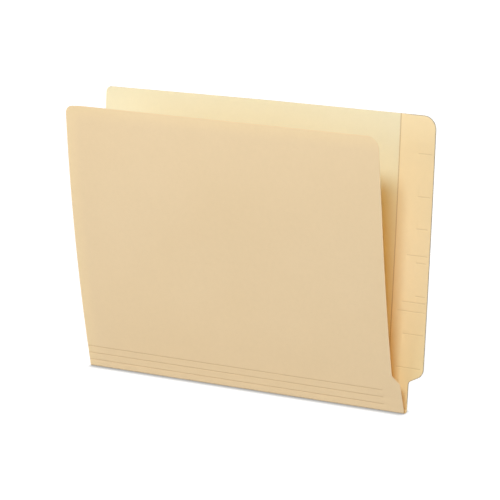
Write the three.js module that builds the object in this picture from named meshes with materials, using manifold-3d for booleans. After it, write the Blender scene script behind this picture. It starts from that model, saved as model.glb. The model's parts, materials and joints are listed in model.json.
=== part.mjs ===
// A letter-size end-tab file folder standing on its fold, half a hand open.
// Millimetres, +Z up, +X along the fold towards the tab, -Y towards the front leaf.
// The whole folder is one scored sheet of manila stock plus a second ply glued inside its tab.
// Each stretch of sheet between two creases is a body of its own, with its crease left open.

import * as THREE from 'three';
import { mergeVertices } from 'three/addons/utils/BufferGeometryUtils.js';
import Module from 'manifold-3d';

const wasm = await Module();
wasm.setup();

// The sheet
const stock = 0.3;
const folderWidth = 311.15;
const backHeight = 241.3;
const frontWidth = 290.5;
const frontHeight = 234.95;

// The fold: a narrow flat foot between a back crease and a front crease
const foldLength = 298.45;
const foldWidth = 5.0;
const creaseGap = 0.4;

// Score lines in the front leaf, counted up from its crease.
// The leaf folds at the top one, which is left open. The others are pressed grooves.
const scoreCount = 3;
const scorePitch = 6.35;
const scoreGap = 0.3;
const scoreLength = 279.4;
const scoreWidth = 0.6;
const scoreDepth = 0.1;

// Lean of each leaf away from upright, in degrees, where it leaves the fold and at its top edge
const frontFootAngle = 11.0;
const frontTopAngle = 2.1;
const backFootAngle = 7.3;
const backTopAngle = 5.3;
const frontFacets = 9;
const backFacets = 5;

// Corners of the die-cut outline
const leftCornerRadius = 6;
const frontCornerRadius = 10.5;
const tabCornerRadius = 11;

// Undercut below the tab
const undercutHeight = 25.5;
const undercutSlope = 28;
const undercutFillet = 3;
const tabHeelRadius = 7;

// Lug at the foot of the front leaf
const lugHeight = 24.8;
const lugSlope = 45;
const lugCornerRadius = 3;
const lugFillet = 4;

// Second ply inside the tab
const plyWidth = 31.75;
const plyFoot = 4;
const glueLine = 0.1;

const arcSegments = 8;
const scoredHeight = scoreCount * scorePitch;
const frontSide = -1;
const backSide = 1;

// Middle line of a leaf seen from its end, as stations up the sheet.
// It runs straight to the height "straight" and is then bowed in equal facets.
function leafLine(side, straight, height, footAngle, topAngle, facets) {
	const stations = [{ s: 0, y: side * foldWidth / 2, z: stock / 2 }];
	const climb = (length, lean) => {
		const last = stations[stations.length - 1];
		const angle = THREE.MathUtils.degToRad(lean);
		last.lean = angle;
		stations.push({
			s: last.s + length,
			y: last.y + side * Math.sin(angle) * length,
			z: last.z + Math.cos(angle) * length,
		});
	};
	if (straight > 0) climb(straight, footAngle);
	for (let i = 0; i < facets; i++) {
		const share = (i + 0.5) / facets;
		climb((height - straight) / facets, THREE.MathUtils.lerp(footAngle, topAngle, share));
	}
	stations[stations.length - 1].lean = stations[stations.length - 2].lean;
	return { side, stations };
}

// Station k moved inwards by "inset", mitred between the facets below and above it.
function insetStation(line, k, inset) {
	const here = line.stations[k];
	const below = line.stations[Math.max(k - 1, 0)].lean;
	const middle = (below + here.lean) / 2;
	const reach = inset / Math.cos((below - here.lean) / 2);
	return new THREE.Vector2(
		here.y - line.side * Math.cos(middle) * reach,
		here.z + Math.sin(middle) * reach,
	);
}

// Point at a distance s up the sheet, moved inwards by "inset".
function pointOn(line, s, inset) {
	const last = line.stations.length - 2;
	let k = 0;
	while (k < last && line.stations[k + 1].s < s) k++;
	const share = (s - line.stations[k].s) / (line.stations[k + 1].s - line.stations[k].s);
	return insetStation(line, k, inset).lerp(insetStation(line, k + 1, inset), share);
}

// End view of a layer of sheet, from one height to another and between two insets.
function layerShape(line, from, to, outerInset, innerInset) {
	const between = line.stations.map((station) => station.s).filter((s) => s > from && s < to);
	const heights = [from, ...between, to];
	const outer = heights.map((s) => pointOn(line, s, outerInset));
	const inner = heights.map((s) => pointOn(line, s, innerInset)).reverse();
	return new THREE.Shape([...outer, ...inner]);
}

// Sweeps an end view along the fold, from x0 to x1.
function sweepAlongFold(shape, x0, x1) {
	const geometry = new THREE.ExtrudeGeometry(shape, { depth: x1 - x0, bevelEnabled: false });
	const turn = new THREE.Matrix4().makeBasis(
		new THREE.Vector3(0, 1, 0),
		new THREE.Vector3(0, 0, 1),
		new THREE.Vector3(1, 0, 0),
	);
	return geometry.applyMatrix4(turn).translate(x0, 0, 0);
}

// Outline with each corner [x, height, radius] rounded by its own arc.
function roundedOutline(corners) {
	const shape = new THREE.Shape();
	corners.forEach(([x, z, radius], i) => {
		const corner = new THREE.Vector2(x, z);
		const previous = corners.at(i - 1);
		const next = corners[(i + 1) % corners.length];
		const inward = new THREE.Vector2(previous[0], previous[1]).sub(corner).normalize();
		const outward = new THREE.Vector2(next[0], next[1]).sub(corner).normalize();
		if (radius === 0) {
			if (i === 0) shape.moveTo(x, z);
			else shape.lineTo(x, z);
			return;
		}
		const half = Math.acos(THREE.MathUtils.clamp(inward.dot(outward), -1, 1)) / 2;
		const tangent = radius / Math.tan(half);
		const start = corner.clone().addScaledVector(inward, tangent);
		const end = corner.clone().addScaledVector(outward, tangent);
		const bisector = inward.clone().add(outward).normalize();
		const centre = corner.clone().addScaledVector(bisector, radius / Math.sin(half));
		const clockwise = inward.cross(outward) > 0;
		shape.lineTo(start.x, start.y);
		shape.absarc(
			centre.x,
			centre.y,
			radius,
			Math.atan2(start.y - centre.y, start.x - centre.x),
			Math.atan2(end.y - centre.y, end.x - centre.x),
			clockwise,
		);
	});
	return shape;
}

function toSolid(geometry) {
	const bare = geometry.clone();
	bare.deleteAttribute('normal');
	bare.deleteAttribute('uv');
	const merged = mergeVertices(bare);
	return new wasm.Manifold(new wasm.Mesh({
		numProp: 3,
		vertProperties: new Float32Array(merged.attributes.position.array),
		triVerts: new Uint32Array(merged.index.array),
	}));
}

function toGeometry(solid) {
	const mesh = solid.getMesh();
	const geometry = new THREE.BufferGeometry();
	geometry.setAttribute('position', new THREE.BufferAttribute(mesh.vertProperties, 3));
	geometry.setIndex(new THREE.BufferAttribute(mesh.triVerts, 1));
	geometry.computeVertexNormals();
	return geometry;
}

// Keeps what lies inside an outline drawn on the XZ plane, at any depth.
function trimToOutline(geometry, outline) {
	const depth = 2 * folderWidth;
	const die = new THREE.ExtrudeGeometry(outline, {
		depth,
		bevelEnabled: false,
		curveSegments: arcSegments,
	});
	const turn = new THREE.Matrix4().makeBasis(
		new THREE.Vector3(1, 0, 0),
		new THREE.Vector3(0, 0, 1),
		new THREE.Vector3(0, -1, 0),
	);
	die.applyMatrix4(turn).translate(0, depth / 2, 0);
	return toGeometry(toSolid(geometry).intersect(toSolid(die)));
}

function makePiece(name, geometry, color, roughness) {
	const material = new THREE.MeshStandardMaterial({ color, roughness, metalness: 0 });
	const mesh = new THREE.Mesh(geometry, material);
	mesh.name = name;
	return mesh;
}

const frontLine = leafLine(
	frontSide, scoredHeight, frontHeight, frontFootAngle, frontTopAngle, frontFacets,
);
const backLine = leafLine(backSide, 0, backHeight, backFootAngle, backTopAngle, backFacets);

// Full outline of the back leaf: plain left side, end tab on the right with its undercut neck.
function backOutline() {
	const top = pointOn(backLine, backHeight, 0).y;
	const neckTop = pointOn(backLine, undercutHeight, 0).y;
	const tabDepth = folderWidth - foldLength;
	const heel = neckTop + tabDepth * Math.tan(THREE.MathUtils.degToRad(undercutSlope));
	return roundedOutline([
		[0, 0, 0],
		[foldLength, 0, 0],
		[foldLength, neckTop, undercutFillet],
		[folderWidth, heel, tabHeelRadius],
		[folderWidth, top, tabCornerRadius],
		[0, top, leftCornerRadius],
	]);
}

// Full outline of the front leaf: cut back from the tab, with a lug at its foot.
function frontOutline() {
	const top = pointOn(frontLine, frontHeight, 0).y;
	const lugTop = pointOn(frontLine, lugHeight, 0).y;
	const lugDepth = foldLength - frontWidth;
	const notch = lugTop + lugDepth * Math.tan(THREE.MathUtils.degToRad(lugSlope));
	return roundedOutline([
		[0, 0, 0],
		[foldLength, 0, 0],
		[foldLength, lugTop, lugCornerRadius],
		[frontWidth, notch, lugFillet],
		[frontWidth, top, frontCornerRadius],
		[0, top, leftCornerRadius],
	]);
}

function makeBackPanel() {
	const section = layerShape(backLine, creaseGap, backHeight, -stock / 2, stock / 2);
	const sheet = trimToOutline(sweepAlongFold(section, 0, folderWidth), backOutline());
	return makePiece('back_panel', sheet, 0xf2e4b8, 0.86);
}

// The second ply is cut by the same die as the back leaf.
function makeTabPly() {
	const outerInset = stock / 2 + glueLine;
	const section = layerShape(backLine, plyFoot, backHeight, outerInset, outerInset + stock);
	const strip = sweepAlongFold(section, folderWidth - plyWidth, folderWidth);
	return makePiece('tab_ply', trimToOutline(strip, backOutline()), 0xf2d8a8, 0.84);
}

function makeSpineFold() {
	const foot = new THREE.BoxGeometry(foldLength, foldWidth - 2 * creaseGap, stock);
	const piece = makePiece('spine_fold', foot, 0xdcc08e, 0.88);
	piece.position.set(foldLength / 2, 0, stock / 2);
	return piece;
}

// The strip of front leaf from the fold up to the top score, with the lower scores pressed in.
function makeBaseStrip() {
	const face = -stock / 2;
	const section = layerShape(frontLine, creaseGap, scoredHeight - scoreGap / 2, face, stock / 2);
	let strip = toSolid(sweepAlongFold(section, 0, foldLength));
	for (let number = 1; number < scoreCount; number++) {
		const from = number * scorePitch - scoreWidth / 2;
		const groove = layerShape(
			frontLine, from, from + scoreWidth, face - scoreDepth, face + scoreDepth,
		);
		strip = strip.subtract(toSolid(sweepAlongFold(groove, -scoreWidth, scoreLength)));
	}
	return makePiece('base_strip', toGeometry(strip), 0xe3ca9c, 0.87);
}

function makeFrontPanel() {
	const from = scoredHeight + scoreGap / 2;
	const section = layerShape(frontLine, from, frontHeight, -stock / 2, stock / 2);
	const sheet = trimToOutline(sweepAlongFold(section, 0, foldLength), frontOutline());
	return makePiece('front_panel', sheet, 0xe6d0a8, 0.86);
}

// The origin is under the middle of the folder: halfway along it and between its two top edges.
const folder = new THREE.Group();
const frontReach = pointOn(frontLine, frontHeight, -stock / 2).x;
const backReach = pointOn(backLine, backHeight, -stock / 2).x;
folder.position.set(-folderWidth / 2, -(frontReach + backReach) / 2, 0);
folder.add(makeBackPanel(), makeTabPly(), makeSpineFold(), makeBaseStrip(), makeFrontPanel());

export default folder;
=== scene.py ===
# File folder: the dressed model of an end-tab manila folder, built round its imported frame
import json
import math

import bmesh
import bpy
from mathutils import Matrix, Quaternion, Vector


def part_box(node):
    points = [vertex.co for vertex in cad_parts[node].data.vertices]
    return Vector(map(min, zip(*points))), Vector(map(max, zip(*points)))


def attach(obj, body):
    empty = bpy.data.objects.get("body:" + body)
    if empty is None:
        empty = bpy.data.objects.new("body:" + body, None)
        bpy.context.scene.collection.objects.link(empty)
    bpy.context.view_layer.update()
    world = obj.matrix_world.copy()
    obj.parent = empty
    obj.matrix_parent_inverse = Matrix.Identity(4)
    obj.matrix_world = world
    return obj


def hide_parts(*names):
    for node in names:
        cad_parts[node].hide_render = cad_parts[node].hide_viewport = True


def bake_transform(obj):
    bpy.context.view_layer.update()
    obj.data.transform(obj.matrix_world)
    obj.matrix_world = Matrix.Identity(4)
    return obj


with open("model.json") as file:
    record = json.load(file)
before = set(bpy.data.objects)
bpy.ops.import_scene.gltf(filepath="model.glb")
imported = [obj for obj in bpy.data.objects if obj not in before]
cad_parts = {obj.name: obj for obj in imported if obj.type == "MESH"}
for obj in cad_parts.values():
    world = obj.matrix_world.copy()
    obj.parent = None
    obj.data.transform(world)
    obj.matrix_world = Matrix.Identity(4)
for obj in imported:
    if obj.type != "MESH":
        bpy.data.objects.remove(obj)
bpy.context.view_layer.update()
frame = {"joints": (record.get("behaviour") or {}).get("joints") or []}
scene = bpy.context.scene
mm = 0.001
slack = 0.02  # in mm: two points closer than this count as one
rowSlack = 0.004  # in mm: the same for the rows where a sheet bends
cutSlack = 0.01  # in mm: a cut this close to a point goes through it

# where the sheet bends: middle of the paper at each crease, in mm (y, z)
hinges = {joint["name"]: Vector(joint["pos_m"]) / mm for joint in frame["joints"]}
backCrease = hinges["base_expand"]
frontCrease = hinges["cover_open"]
halfFoot = (backCrease.y - frontCrease.y) / 2
middleOfFoot = (backCrease.y + frontCrease.y) / 2
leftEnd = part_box("back_panel")[0].x / mm  # x of the left cut edges

stock = {
    "thickness": 0.3,
    "foldLength": 298.45,
    "creaseRadius": 1.4,  # middle of the paper, in the rounded creases of the foot
    "creaseSteps": 12,
    "cornerSteps": 9,
    "rim": 1.6,  # width of the band along a cut edge
    "edgeRounding": 0.06,
    "edgeSteps": 2,
    "edgeAngle": 60,  # degrees: what is sharper than this is a cut edge
    "smoothAngle": 8.5,  # degrees: what is flatter than this is shaded smooth
    "columns": 22,
    "overrun": 1,  # how far a pressed line starts or stops outside an edge that it crosses
    "grooveFloor": 0.4,  # share of a pressed line's width that is its flat floor
}


# small tools for modelling by hand
def editOnly(piece):
    if bpy.context.object and bpy.context.object.mode != "OBJECT":
        bpy.ops.object.mode_set(mode="OBJECT")
    bpy.ops.object.select_all(action="DESELECT")
    piece.select_set(True)
    bpy.context.view_layer.objects.active = piece
    bpy.ops.object.mode_set(mode="EDIT")
    bpy.ops.mesh.select_mode(type="VERT")
    bpy.ops.mesh.select_all(action="DESELECT")
    return bmesh.from_edit_mesh(piece.data)


def backToObject(piece):
    bpy.ops.object.mode_set(mode="OBJECT")
    bpy.ops.object.select_all(action="DESELECT")
    piece.select_set(True)
    bpy.context.view_layer.objects.active = piece


def near(a, b, within=slack):
    return abs(a - b) < within


def pickVerts(piece, wanted):
    editMesh = bmesh.from_edit_mesh(piece.data)
    bpy.ops.mesh.select_all(action="DESELECT")
    for vert in editMesh.verts:
        vert.select = wanted(vert.co / mm)
    editMesh.select_flush_mode()
    bmesh.update_edit_mesh(piece.data)


def moveAll(x, y, z):
    bpy.ops.mesh.select_all(action="SELECT")
    bpy.ops.transform.translate(value=(x * mm, y * mm, z * mm))


def addFlatSheet(name, width, bottom, top):
    bpy.ops.object.select_all(action="DESELECT")
    middle = ((leftEnd + width / 2) * mm, 0, (bottom + top) / 2 * mm)
    bpy.ops.mesh.primitive_plane_add(size=1, location=middle, rotation=(math.pi / 2, 0, 0))
    sheet = bpy.context.object
    sheet.name = name
    sheet.data.name = name
    sheet.scale = (width * mm, (top - bottom) * mm, 1)
    bpy.ops.object.transform_apply(location=True, rotation=True, scale=True)
    return sheet


def cutLine(across, place):
    bpy.ops.mesh.select_all(action="SELECT")
    normal = (1, 0, 0) if across == "x" else (0, 0, 1)
    point = (place * mm, 0, 0) if across == "x" else (0, 0, place * mm)
    bpy.ops.mesh.bisect(plane_co=point, plane_no=normal, threshold=cutSlack * mm)


def slideCorner(piece, x, z, right, up):
    pickVerts(piece, lambda p: near(p.x, x) and near(p.z, z))
    bpy.ops.transform.translate(value=(right * mm, 0, up * mm))


def growWing(piece, edgeX, wide, low, high, cornerFrom, cornerTo):
    # a strip grown out of the right edge between two heights, with one corner then slid along it
    editOnly(piece)
    for place in (low, high):
        if place is not None:
            cutLine("z", place)
    bottom = -math.inf if low is None else low - slack
    top = math.inf if high is None else high + slack
    pickVerts(piece, lambda p: near(p.x, edgeX) and bottom < p.z < top)
    bpy.ops.mesh.extrude_region_move(TRANSFORM_OT_translate={"value": (wide * mm, 0, 0)})
    slideCorner(piece, edgeX + wide, cornerFrom, 0, cornerTo - cornerFrom)
    bpy.ops.mesh.select_all(action="SELECT")
    bpy.ops.mesh.normals_make_consistent(inside=False)
    if bmesh.from_edit_mesh(piece.data).faces[0].normal.y > 0:
        bpy.ops.mesh.flip_normals()
    bpy.ops.mesh.dissolve_faces()
    backToObject(piece)


def roundCorner(piece, x, z, radius, turn):
    pickVerts(piece, lambda p: near(p.x, x) and near(p.z, z))
    reach = radius * math.tan(math.radians(turn) / 2)
    bpy.ops.mesh.bevel(offset=reach * mm, segments=stock["cornerSteps"], affect="VERTICES", profile=0.5)


def insetRim():
    bpy.ops.mesh.select_all(action="SELECT")
    bpy.ops.mesh.inset(thickness=stock["rim"] * mm, depth=0, use_boundary=True)


def layGrid(x0, x1, columns, rows):
    for i in range(1, columns):
        cutLine("x", x0 + (x1 - x0) * i / columns)
    for row in rows:
        cutLine("z", row)


def keepValues(piece, name, values):
    layer = piece.data.attributes.new(name, "FLOAT", "POINT")
    layer.data.foreach_set("value", values)


def markRim(piece, onSeam):
    # 1 on the cut edges and 0 inside, so that the finish can follow the die line; it carries the
    # painted highlight and the painted dark outline along the cut edges
    editMesh = bmesh.new()
    editMesh.from_mesh(piece.data)
    border = [v.is_boundary and not onSeam(v.co / mm) for v in editMesh.verts]
    editMesh.free()
    keepValues(piece, "rim", [float(b) for b in border])


def markSheet(piece, top):
    # where each point lies on the flat sheet, in metres, so that the tones of painted light and shade
    # stay put as the leaf swings
    points = [vert.co.copy() for vert in piece.data.vertices]
    keepValues(piece, "up", [p.z for p in points])
    keepValues(piece, "inward", [min(p.x - leftEnd * mm, top * mm - p.z) for p in points])


def pressLine(piece, along, place, start, end, width, depth, strength=1.0):
    # a shallow groove pressed in from the side that faces -Y, running along "x" or "z"; its floor is
    # marked "press" for the painted shade in the groove
    editOnly(piece)
    across = "z" if along == "x" else "x"
    halfFloor = stock["grooveFloor"] * width / 2
    for side in (-width / 2, -halfFloor, halfFloor, width / 2):
        cutLine(across, place + side)
    for stop in (start, start + width, end - width, end):
        cutLine(along, stop)

    def inGroove(p):
        side, run = (p.z, p.x) if along == "x" else (p.x, p.z)
        return abs(side - place) < halfFloor + slack and start + slack < run < end - slack

    editMesh = bmesh.from_edit_mesh(piece.data)
    press = editMesh.verts.layers.float.get("press") or editMesh.verts.layers.float.new("press")
    for vert in editMesh.verts:
        if inGroove(vert.co / mm):
            vert[press] = strength
    bmesh.update_edit_mesh(piece.data)
    pickVerts(piece, inGroove)
    bpy.ops.transform.translate(value=(0, depth * mm, 0))
    backToObject(piece)


def turnAbout(degrees, y, z):
    # right-handed about +X; with no window the operator turns the other way
    bpy.ops.transform.rotate(
        value=-math.radians(degrees),
        orient_axis="X",
        orient_type="GLOBAL",
        center_override=(0, y * mm, z * mm),
    )


def bowOf(leaf, straight=0):
    # the rows where a leaf bends, from where its straight stretch ends, and the turn at each
    rows = [straight + (leaf["height"] - straight) * (k + 0.5) / leaf["bowRows"]
            for k in range(leaf["bowRows"])]
    return rows, (leaf["footLean"] - leaf["topLean"]) / leaf["bowRows"]


def footOf(leaf):
    # rows of the rounded crease below a leaf, the turn at each, all rows to cut there, and the seam
    turn = 90 - leaf["footLean"]
    reach = stock["creaseRadius"] * math.tan(math.radians(turn) / 2)
    length = stock["creaseRadius"] * math.radians(turn)
    step = length / stock["creaseSteps"]
    rolls = [reach - (k + 0.5) * step for k in range(stock["creaseSteps"])]
    footStart = reach - length
    seam = footStart - (halfFoot - reach)
    return rolls, turn / len(rolls), [*rolls, reach, footStart], seam


def rollRows(piece, rows, turn, upward):
    # bends a flat sheet row by row: what lies past each row turns about it
    editMesh = editOnly(piece)
    heights = [vert.co.z / mm for vert in editMesh.verts]
    way = 1 if upward else -1
    y, z, angle, last = 0.0, rows[0], 0.0, rows[0]
    for row in rows:
        gap = abs(row - last)
        y -= way * math.sin(angle) * gap
        z += way * math.cos(angle) * gap
        editMesh = bmesh.from_edit_mesh(piece.data)
        bpy.ops.mesh.select_all(action="DESELECT")
        for vert, height in zip(editMesh.verts, heights):
            vert.select = way * (height - row) > rowSlack
        editMesh.select_flush_mode()
        bmesh.update_edit_mesh(piece.data)
        turnAbout(turn, y, z)
        angle += math.radians(turn)
        last = row
    backToObject(piece)


def standUp(piece, lean, crease):
    # leans the whole bent sheet about its crease and sets it in place
    editOnly(piece)
    bpy.ops.mesh.select_all(action="SELECT")
    turnAbout(lean, 0, 0)
    moveAll(0, crease.y, crease.z)
    backToObject(piece)


def giveThickness(piece, isSeam):
    # paper thickness, with the cut edges rounded off but not the butt seams
    thick = piece.modifiers.new("paper", "SOLIDIFY")
    thick.thickness = stock["thickness"] * mm
    thick.offset = 0
    thick.use_even_offset = True
    for slot in range(3):  # filled once the finishes are made
        piece.data.materials.append(None)
    thick.material_offset = 1  # first finish towards -Y, second towards +Y
    thick.material_offset_rim = 2  # third on the cut edge
    bpy.ops.object.modifier_apply(modifier=thick.name)
    editMesh = editOnly(piece)
    bpy.ops.mesh.select_mode(type="EDGE")
    bpy.ops.mesh.select_all(action="DESELECT")
    for edge in editMesh.edges:
        if len(edge.link_faces) == 2 and edge.calc_face_angle() > math.radians(stock["edgeAngle"]):
            edge.select = not all(isSeam(vert.co / mm) for vert in edge.verts)
    bmesh.update_edit_mesh(piece.data)
    bpy.ops.mesh.bevel(offset=stock["edgeRounding"] * mm, segments=stock["edgeSteps"], affect="EDGES")
    backToObject(piece)
    bpy.ops.object.shade_smooth_by_angle(angle=math.radians(stock["smoothAngle"]))


def onFootSeam(p):
    # where the two halves of the foot butt together
    return near(p.y, middleOfFoot) and p.z < 2 * stock["thickness"]


print("tools ready")

# back leaf, with the end tab and the rear half of the foot
backLeaf = {
    "width": 311.15,
    "height": 241.3,
    "footLean": 7.3,
    "topLean": 5.3,
    "neckTop": 24.7,
    "heel": 31.4,
    "corners": {"left": 5, "tab": 11, "heel": 8, "neck": 3},
    "leftTrim": (3.1, 1.4),  # how far its upper left corner comes in and down
    "trimmedHalf": 156,  # the top edge is level from here to the tab
    "bowRows": 16,
}
neckX = leftEnd + stock["foldLength"]
tabX = leftEnd + backLeaf["width"]


def backOutline(piece, left):
    # the die line that the back leaf and the tab ply share
    wing = backLeaf["width"] - stock["foldLength"]
    growWing(piece, neckX, wing, backLeaf["neckTop"], None, backLeaf["neckTop"], backLeaf["heel"])
    radii = backLeaf["corners"]
    editOnly(piece)
    slope = math.degrees(math.atan2(backLeaf["heel"] - backLeaf["neckTop"], wing))
    roundCorner(piece, neckX, backLeaf["neckTop"], radii["neck"], 90 - slope)
    roundCorner(piece, tabX, backLeaf["heel"], radii["heel"], 90 - slope)
    roundCorner(piece, tabX, backLeaf["height"], radii["tab"], 90)
    if left:
        inward, down = backLeaf["leftTrim"]
        cutLine("x", leftEnd + backLeaf["trimmedHalf"])
        slideCorner(piece, leftEnd, backLeaf["height"], inward, -down)
        roundCorner(piece, leftEnd + inward, backLeaf["height"] - down, radii["left"], 90)


def makeBackLeaf():
    rolls, roll, footRows, seam = footOf(backLeaf)
    piece = addFlatSheet("backLeaf", stock["foldLength"], seam, backLeaf["height"])
    backOutline(piece, left=True)
    insetRim()
    bow, bend = bowOf(backLeaf)
    layGrid(leftEnd, tabX, stock["columns"], [*bow, *footRows])
    backToObject(piece)
    markRim(piece, lambda p: near(p.z, seam))
    markSheet(piece, backLeaf["height"])
    rollRows(piece, bow, bend, upward=True)
    rollRows(piece, rolls, -roll, upward=False)
    standUp(piece, -backLeaf["footLean"], backCrease)
    giveThickness(piece, onFootSeam)
    return piece


backSheet = makeBackLeaf()
print("back leaf made")
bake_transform(backSheet)
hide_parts("back_panel", "spine_fold")

# tab ply: second strip glued inside the tab, with pressed label guides
tabPly = {
    "width": 31.75,
    "foot": 2.6,
    "lift": 0.305,  # its middle above the middle of the back leaf
    "columns": 3,
    "edgeLine": 0.55,  # the line pressed along its inner edge, from that edge
    "edgeLineWidth": 1.3,
    "guideWidth": 1.3,
    "guideDepth": 0.09,
    "guideStrength": 0.45,
    # each guide: height up the sheet, then where it starts and stops along the folder
    "guides": [
        (210.4, 295.9, 309.0), (175.8, 297.2, 309.2), (149.7, 297.2, 308.1), (128.0, 290.0, 309.4),
        (122.2, 298.5, 308.6), (95.2, 300.1, 308.9), (89.9, 288.2, 309.3), (82.4, 284.2, 309.4),
        (63.9, 290.0, 309.4), (36.3, 285.5, 308.6),
    ],
}


def makeTabPly():
    left = tabX - tabPly["width"]
    piece = addFlatSheet("tabPly", neckX - left, tabPly["foot"], backLeaf["height"])
    editOnly(piece)
    moveAll(left - leftEnd, 0, 0)
    backOutline(piece, left=False)
    insetRim()
    bow, bend = bowOf(backLeaf)
    layGrid(left, tabX, tabPly["columns"], bow)
    backToObject(piece)
    markRim(piece, lambda p: near(p.x, left) or near(p.z, tabPly["foot"]))
    pressLine(piece, "z", left + tabPly["edgeLine"], -stock["overrun"],
              backLeaf["height"] + stock["overrun"], tabPly["edgeLineWidth"], tabPly["guideDepth"])
    for height, x0, x1 in tabPly["guides"]:
        pressLine(piece, "x", height, leftEnd + x0, leftEnd + x1,
                  tabPly["guideWidth"], tabPly["guideDepth"], tabPly["guideStrength"])
    markSheet(piece, backLeaf["height"])
    editOnly(piece)
    moveAll(0, -tabPly["lift"], 0)
    backToObject(piece)
    rollRows(piece, bow, bend, upward=True)
    standUp(piece, -backLeaf["footLean"], backCrease)
    giveThickness(piece, lambda p: False)
    return piece


plySheet = makeTabPly()
print("tab ply made")
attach(plySheet, "back")
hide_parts("tab_ply")

# front leaf: a fold strip up to the first score, then the leaf above it
frontLeaf = {
    "width": 290.5,
    "height": 234.95,
    "footLean": 11.0,
    "topLean": 2.1,
    "lugHeight": 26.2,
    "lugTaper": 1.3,  # how much shorter the lug is at its top than at the fold
    "lugSlope": 45,  # degrees, from the lug's top up to the notch
    "notch": 32.9,
    "corners": {"left": 6, "right": 10.5, "lug": 1.2, "notch": 2},
    "cornerDrop": 1.1,  # how far its upper left corner lies below the top edge
    "dropFrom": 14,  # where the top edge starts to drop, from the left
    "cornerPull": 1.3,  # how far its upper right corner comes in
    "pullFrom": 175,  # height where the right edge starts to come in
    "bowRows": 24,
    "scores": [6.35, 12.7, 19.05],
    "scoreEnd": 281.6,
    "scoreWidth": 1.4,
    "scoreDepth": 0.1,
}


def onScoreSeam(p):
    # where the fold strip and the leaf butt together, at the first score
    lean = math.radians(frontLeaf["footLean"])
    height = frontCrease.z + frontLeaf["scores"][0] * math.cos(lean)
    return near(p.z, height, stock["thickness"] / 2)


def pressScore(piece, score):
    pressLine(piece, "x", score, leftEnd - stock["overrun"], leftEnd + frontLeaf["scoreEnd"],
              frontLeaf["scoreWidth"], frontLeaf["scoreDepth"])


def makeFoldStrip():
    rolls, roll, footRows, seam = footOf(frontLeaf)
    top = frontLeaf["scores"][0]
    piece = addFlatSheet("foldStrip", stock["foldLength"], seam, top)
    editOnly(piece)
    insetRim()
    layGrid(leftEnd, neckX, stock["columns"], footRows)
    backToObject(piece)
    markRim(piece, lambda p: near(p.z, seam) or near(p.z, top))
    pressScore(piece, top)
    markSheet(piece, frontLeaf["height"])
    rollRows(piece, rolls, roll, upward=False)
    standUp(piece, frontLeaf["footLean"], frontCrease)
    giveThickness(piece, lambda p: onFootSeam(p) or onScoreSeam(p))
    return piece


def frontOutline(piece, rightX):
    # the lug at the right end of the foot, then the corners
    notch, lugHeight, top = frontLeaf["notch"], frontLeaf["lugHeight"], frontLeaf["height"]
    growWing(piece, rightX, neckX - rightX, None, notch, notch, lugHeight)
    taper, drop, pull = frontLeaf["lugTaper"], frontLeaf["cornerDrop"], frontLeaf["cornerPull"]
    editOnly(piece)
    slideCorner(piece, neckX, lugHeight, -taper, 0)
    cutLine("x", leftEnd + frontLeaf["dropFrom"])
    slideCorner(piece, leftEnd, top, 0, -drop)
    cutLine("z", frontLeaf["pullFrom"])
    slideCorner(piece, rightX, top, -pull, 0)
    radii, slope = frontLeaf["corners"], frontLeaf["lugSlope"]
    roundCorner(piece, neckX - taper, lugHeight, radii["lug"], slope)
    roundCorner(piece, rightX, notch, radii["notch"], slope)
    roundCorner(piece, rightX - pull, top, radii["right"], 90)
    roundCorner(piece, leftEnd, top - drop, radii["left"], 90)


def makeFrontLeaf():
    bottom = frontLeaf["scores"][0]
    piece = addFlatSheet("frontLeaf", frontLeaf["width"], bottom, frontLeaf["height"])
    rightX = leftEnd + frontLeaf["width"]
    frontOutline(piece, rightX)
    insetRim()
    bow, bend = bowOf(frontLeaf, frontLeaf["scores"][-1])
    layGrid(leftEnd, rightX, stock["columns"], bow)
    backToObject(piece)
    markRim(piece, lambda p: near(p.z, bottom))
    for score in frontLeaf["scores"]:
        pressScore(piece, score)
    markSheet(piece, frontLeaf["height"])
    rollRows(piece, bow, -bend, upward=True)
    standUp(piece, frontLeaf["footLean"], frontCrease)
    giveThickness(piece, onScoreSeam)
    return piece


foldSheet = makeFoldStrip()
print("fold strip made")
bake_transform(foldSheet)
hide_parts("spine_fold", "base_strip")

frontSheet = makeFrontLeaf()
print("front leaf made")
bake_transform(frontSheet)
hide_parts("base_strip", "front_panel")

# finishes: what all the manila has in common
manila = {
    "gloss": 0.25,
    "rough": 0.8,
    "roughSpread": 0.06,
    "roughNoise": (900, 3),  # scale and detail, as in the other noises
    "cloudDetail": 3,
    "mottleNoise": (260, 4),
    "mottleTones": ((0.99, 0.99, 0.988), (1.006, 1.006, 1.005)),
    "softFade": (0.3, 0.7),
    "fibreNoise": (420, 2),
    "fibreFade": (0.66, 0.74),
    "fibreLie": [((1, 1, 7), (0, 0.5, 0)), ((1, 1, 8), (0, -0.7, 0))],  # stretch and turn of two layers
    "grainNoise": (2600, 5),
    "grainStrength": 0.25,
    "grainHeight": 0.04 * mm,
    # the marks are painted light and shade: rim a painted highlight along the cut edges, the outline a
    # painted shadow along them, press painted shade in the pressed grooves. Each mark: the attribute
    # that it follows, and where it starts to show and is full
    "marks": {"rim": ("rim", 0.25, 1.0), "paintedOutlineShadow": ("rim", 0.55, 0.88), "press": ("press", 0.1, 0.9)},
    # the tones are painted light and shade. Each tone: the attribute that it follows, its color, and in
    # metres where it fades
    "tones": {
        # painted light: the outside paler towards the foot
        "paintedLightAtFoot": ("up", (1.03, 1.03, 1.03), 0.06, 0.15),
        # painted light: the outside paler near its left and top edges
        "paintedLightAtBorder": ("inward", (1.045, 1.05, 1.02), 0.001, 0.015),
        # painted shade: the inside more orange low down, where the V is shaded
        "paintedShadeInFold": ("up", (1.02, 0.955, 0.82), 0.13, 0.23),
        # painted shade: the tab darker towards its foot
        "paintedShadeAtHeel": ("up", (0.89, 0.85, 0.73), 0.0, 0.13),
    },
}


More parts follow.
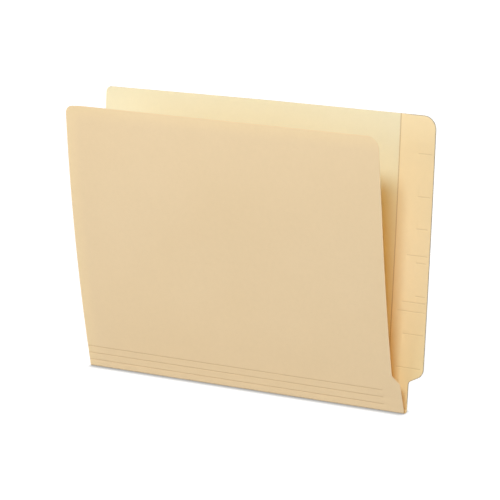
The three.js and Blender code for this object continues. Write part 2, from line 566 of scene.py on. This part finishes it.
def makeManila(name, finish, through=None):
    material = bpy.data.materials.new(name)
    material.use_nodes = True
    nodes = material.node_tree.nodes
    links = material.node_tree.links
    shader = nodes["Principled BSDF"]
    shader.inputs["Specular IOR Level"].default_value = manila["gloss"]

    def add(kind, **settings):
        node = nodes.new(kind)
        for key, value in settings.items():
            setattr(node, key, value)
        return node

    place = add("ShaderNodeTexCoord").outputs["Object"]

    def marked(attribute):
        return add("ShaderNodeAttribute", attribute_name=attribute).outputs["Fac"]

    def noise(scale, detail, stretch=(1, 1, 1), turn=(0, 0, 0)):
        mapping = add("ShaderNodeMapping")
        mapping.inputs["Scale"].default_value = stretch
        mapping.inputs["Rotation"].default_value = turn
        links.new(place, mapping.inputs["Vector"])
        texture = add("ShaderNodeTexNoise")
        texture.inputs["Scale"].default_value = scale
        texture.inputs["Detail"].default_value = detail
        links.new(mapping.outputs["Vector"], texture.inputs["Vector"])
        return texture.outputs["Fac"]

    def ramp(source, low, high, start=0.0, end=1.0):
        stops = add("ShaderNodeValToRGB")
        stops.color_ramp.elements[0].position = start
        stops.color_ramp.elements[1].position = end
        stops.color_ramp.elements[0].color = (*low, 1)
        stops.color_ramp.elements[1].color = (*high, 1)
        links.new(source, stops.inputs["Fac"])
        return stops.outputs["Color"]

    def blend(factor, first, second, mode="MIX"):
        mix = add("ShaderNodeMix", data_type="RGBA", blend_type=mode)
        if isinstance(factor, float):
            mix.inputs["Factor"].default_value = factor
        else:
            links.new(factor, mix.inputs["Factor"])
        for socket, value in ((mix.inputs["A"], first), (mix.inputs["B"], second)):
            if isinstance(value, tuple):
                socket.default_value = (*value, 1)
            else:
                links.new(value, socket)
        return mix.outputs["Result"]

    # color: slow clouds, a fine mottle and a few fibres, then the marks and tones of this finish, which
    # paint light and shade into it
    clouds = noise(finish["cloudScale"], manila["cloudDetail"])
    cloud = ramp(clouds, finish["shade"], finish["tint"], *manila["softFade"])
    mottle = ramp(noise(*manila["mottleNoise"]), *manila["mottleTones"], *manila["softFade"])
    color = blend(1.0, cloud, mottle, "MULTIPLY")
    for stretch, turn in manila["fibreLie"]:
        layer = noise(*manila["fibreNoise"], stretch, turn)
        fibres = ramp(layer, (0, 0, 0), (1, 1, 1), *manila["fibreFade"])
        color = blend(fibres, color, finish["fibre"])
    for mark, (markColor, share) in finish["marks"].items():
        attribute, start, end = manila["marks"][mark]
        mask = ramp(marked(attribute), (0, 0, 0), (share, share, share), start, end)
        color = blend(mask, color, markColor)
    for tone in finish["tones"]:
        attribute, toneColor, start, end = manila["tones"][tone]
        fade = add("ShaderNodeMapRange", interpolation_type="SMOOTHSTEP")
        fade.inputs["From Min"].default_value = start
        fade.inputs["From Max"].default_value = end
        links.new(marked(attribute), fade.inputs["Value"])
        color = blend(1.0, color, ramp(fade.outputs["Result"], toneColor, (1, 1, 1)), "MULTIPLY")
    links.new(color, shader.inputs["Base Color"])

    smoother = (manila["rough"] - manila["roughSpread"],) * 3
    rougher = (manila["rough"] + manila["roughSpread"],) * 3
    links.new(ramp(noise(*manila["roughNoise"]), smoother, rougher), shader.inputs["Roughness"])

    grain = add("ShaderNodeBump")
    grain.inputs["Strength"].default_value = manila["grainStrength"]
    grain.inputs["Distance"].default_value = manila["grainHeight"]
    links.new(noise(*manila["grainNoise"]), grain.inputs["Height"])
    links.new(grain.outputs["Normal"], shader.inputs["Normal"])

    if through:  # lamps shine through the single sheet a little, warmed by its fibres
        lampLight = add("ShaderNodeBsdfTransparent")
        lampLight.inputs["Color"].default_value = (*through, 1)
        sheet = add("ShaderNodeMixShader")
        links.new(add("ShaderNodeLightPath").outputs["Is Shadow Ray"], sheet.inputs["Fac"])
        links.new(shader.outputs[0], sheet.inputs[1])
        links.new(lampLight.outputs[0], sheet.inputs[2])
        links.new(sheet.outputs[0], nodes["Material Output"].inputs["Surface"])
    return material


# each finish: its own tones, and each mark's color with its share; the rim colors paint a highlight
# along the cut edges, the press colors paint shade in the grooves
outside = {
    "tint": (0.81, 0.63, 0.395),
    "shade": (0.79, 0.61, 0.375),
    "cloudScale": 9,
    "fibre": (0.765, 0.585, 0.35),
    "marks": {"rim": ((0.9, 0.66, 0.4), 0.4), "press": ((0.52, 0.345, 0.18), 0.42)},
    "tones": ("paintedLightAtFoot", "paintedLightAtBorder"),
}
inside = {
    "tint": (0.828, 0.75, 0.522),
    "shade": (0.816, 0.735, 0.502),
    "cloudScale": 9,
    "fibre": (0.79, 0.71, 0.47),
    "marks": {"rim": ((0.84, 0.74, 0.48), 0.4), "press": ((0.52, 0.345, 0.18), 0.42)},
    "tones": ("paintedShadeInFold",),
}
tabFace = {
    "tint": (0.888, 0.725, 0.447),
    "shade": (0.872, 0.705, 0.423),
    "cloudScale": 9,
    "fibre": (0.85, 0.68, 0.395),
    # painted shadow: the outline mark darkens the tab along its cut edges
    "marks": {"rim": ((0.9, 0.72, 0.45), 0.4), "paintedOutlineShadow": ((0.3, 0.27, 0.22), 0.75),
              "press": ((0.5, 0.36, 0.2), 0.7)},
    "tones": ("paintedShadeAtHeel",),
}
# painted highlight: the front's cut edges lighter than its faces
paintedBrightCutEdge = {
    "tint": (0.88, 0.72, 0.5),
    "shade": (0.8, 0.64, 0.43),
    "cloudScale": 60,
    "fibre": (0.765, 0.585, 0.35),
    "marks": {"press": ((0.52, 0.345, 0.18), 0.2)},
    "tones": ("paintedLightAtFoot",),
}
# painted shade: a dark copy of the cut edge finish, for the back leaf and tab
paintedDarkCutEdge = {**paintedBrightCutEdge, "tint": (0.32, 0.29, 0.24), "shade": (0.25, 0.22, 0.18)}
lampThroughSheet = (0.58, 0.4, 0.025)

outsideBack = makeManila("manilaOutside", outside)
insideBack = makeManila("manilaInside", inside)
tabBoth = makeManila("manilaTab", tabFace)
edgeBack = makeManila("paintedDarkCutEdge", paintedDarkCutEdge)
outsideFront = makeManila("manilaOutsideThin", outside, lampThroughSheet)
insideFront = makeManila("manilaInsideThin", inside, lampThroughSheet)
edgeFront = makeManila("cleanEdgeThin", paintedBrightCutEdge, lampThroughSheet)

for piece, finishes in (
    (backSheet, (insideBack, outsideBack, edgeBack)),
    (plySheet, (tabBoth, tabBoth, edgeBack)),
    (foldSheet, (outsideFront, insideFront, edgeFront)),
    (frontSheet, (outsideFront, insideFront, edgeFront)),
):
    for slot, finish in enumerate(finishes):
        piece.data.materials[slot] = finish
print("finishes made")

# floor, light and camera
studio = {
    "floorSize": 14,
    "floorAlbedo": 0.42,  # as the folder sees it
    "floorTone": 0.15,  # as the camera sees it, under its glow
    "floorGlow": 0.98,
    "contactReach": 0.0078,  # how far the painted contact shadow along the foot fades out
    "contactShade": 0.32,
    "contactFrom": 0.5,  # how open to the sky the floor is where that line is darkest
    "backdrop": 1.0,
    "ambient": 0.02,
    "lamps": [
        # name, power, width, height, place
        ("softKey", 196, 1.6, 0.95, (0.87, -3.36, 3.24)),
        ("leftFill", 19.8, 1.3, 1.3, (-1.55, -1.65, 0.22)),
        ("backLight", 62, 1.6, 1.6, (-1.1, 2.5, 1.2)),
    ],
    "lampsAimAt": (0, 0, 0.12),
    "cameraPlace": (1.05940, -1.88786, 0.67899),
    "azimuth": 29.2707,
    "elevation": 14.4865,
    "roll": -0.6502,
    "lens": 196.174,
    "sensor": 36,
    "viewDepth": 50,
}


def makeFloor():
    bpy.ops.object.select_all(action="DESELECT")
    bpy.ops.mesh.primitive_plane_add(size=studio["floorSize"], location=(0, 0, 0))
    floor = bpy.context.object
    floor.name = "floor"
    material = bpy.data.materials.new("paleFloor")
    material.use_nodes = True
    nodes = material.node_tree.nodes
    links = material.node_tree.links
    nodes.clear()
    dim = nodes.new("ShaderNodeBsdfDiffuse")
    dim.inputs["Color"].default_value = (studio["floorAlbedo"],) * 3 + (1,)
    pale = nodes.new("ShaderNodeBsdfDiffuse")
    pale.inputs["Color"].default_value = (studio["floorTone"],) * 3 + (1,)
    # for the camera the floor's glow dims by ambient occlusion near the foot: a painted contact shadow
    contact = nodes.new("ShaderNodeAmbientOcclusion")
    contact.inputs["Distance"].default_value = studio["contactReach"]
    depth = nodes.new("ShaderNodeMapRange")
    depth.inputs["From Min"].default_value = studio["contactFrom"]
    depth.inputs["To Min"].default_value = studio["contactShade"]
    depth.inputs["To Max"].default_value = studio["floorGlow"]
    links.new(contact.outputs["AO"], depth.inputs["Value"])
    glow = nodes.new("ShaderNodeEmission")
    links.new(depth.outputs[0], glow.inputs["Strength"])
    both = nodes.new("ShaderNodeAddShader")
    links.new(pale.outputs[0], both.inputs[0])
    links.new(glow.outputs[0], both.inputs[1])
    seen = nodes.new("ShaderNodeMixShader")
    rays = nodes.new("ShaderNodeLightPath")
    links.new(rays.outputs["Is Camera Ray"], seen.inputs["Fac"])
    links.new(dim.outputs[0], seen.inputs[1])
    links.new(both.outputs[0], seen.inputs[2])
    out = nodes.new("ShaderNodeOutputMaterial")
    links.new(seen.outputs[0], out.inputs["Surface"])
    floor.data.materials.append(material)


def makeWorld():
    # white where the camera or a gloss sees it, and dim as a light
    world = bpy.data.worlds.new("studio")
    scene.world = world
    world.use_nodes = True
    nodes = world.node_tree.nodes
    links = world.node_tree.links
    nodes.clear()
    rays = nodes.new("ShaderNodeLightPath")
    either = nodes.new("ShaderNodeMath")
    either.operation = "MAXIMUM"
    links.new(rays.outputs["Is Camera Ray"], either.inputs[0])
    links.new(rays.outputs["Is Glossy Ray"], either.inputs[1])
    level = nodes.new("ShaderNodeMapRange")
    level.inputs["To Min"].default_value = studio["ambient"]
    level.inputs["To Max"].default_value = studio["backdrop"]
    links.new(either.outputs[0], level.inputs["Value"])
    sky = nodes.new("ShaderNodeBackground")
    sky.inputs["Color"].default_value = (1, 1, 1, 1)
    links.new(level.outputs[0], sky.inputs["Strength"])
    out = nodes.new("ShaderNodeOutputWorld")
    links.new(sky.outputs[0], out.inputs["Surface"])


def makeLamps():
    for name, power, width, height, place in studio["lamps"]:
        lamp = bpy.data.lights.new(name, "AREA")
        lamp.energy = power
        lamp.shape = "RECTANGLE"
        lamp.size = width
        lamp.size_y = height
        holder = bpy.data.objects.new(name, lamp)
        scene.collection.objects.link(holder)
        holder.location = place
        aim = Vector(studio["lampsAimAt"]) - holder.location
        holder.rotation_euler = aim.to_track_quat("-Z", "Y").to_euler()


def makeCamera():
    data = bpy.data.cameras.new("view")
    data.lens = studio["lens"]
    data.sensor_width = studio["sensor"]
    data.clip_end = studio["viewDepth"]
    camera = bpy.data.objects.new("view", data)
    scene.collection.objects.link(camera)
    camera.location = studio["cameraPlace"]
    camera.rotation_mode = "XYZ"
    camera.rotation_euler = (math.radians(90 - studio["elevation"]), 0, math.radians(studio["azimuth"]))
    bpy.context.view_layer.update()
    camera.rotation_mode = "QUATERNION"
    level = camera.matrix_world.to_quaternion()
    camera.rotation_quaternion = level @ Quaternion((0, 0, 1), math.radians(studio["roll"]))
    scene.camera = camera


makeFloor()
makeWorld()
makeLamps()
makeCamera()
scene.view_settings.view_transform = "Standard"
print("studio made")
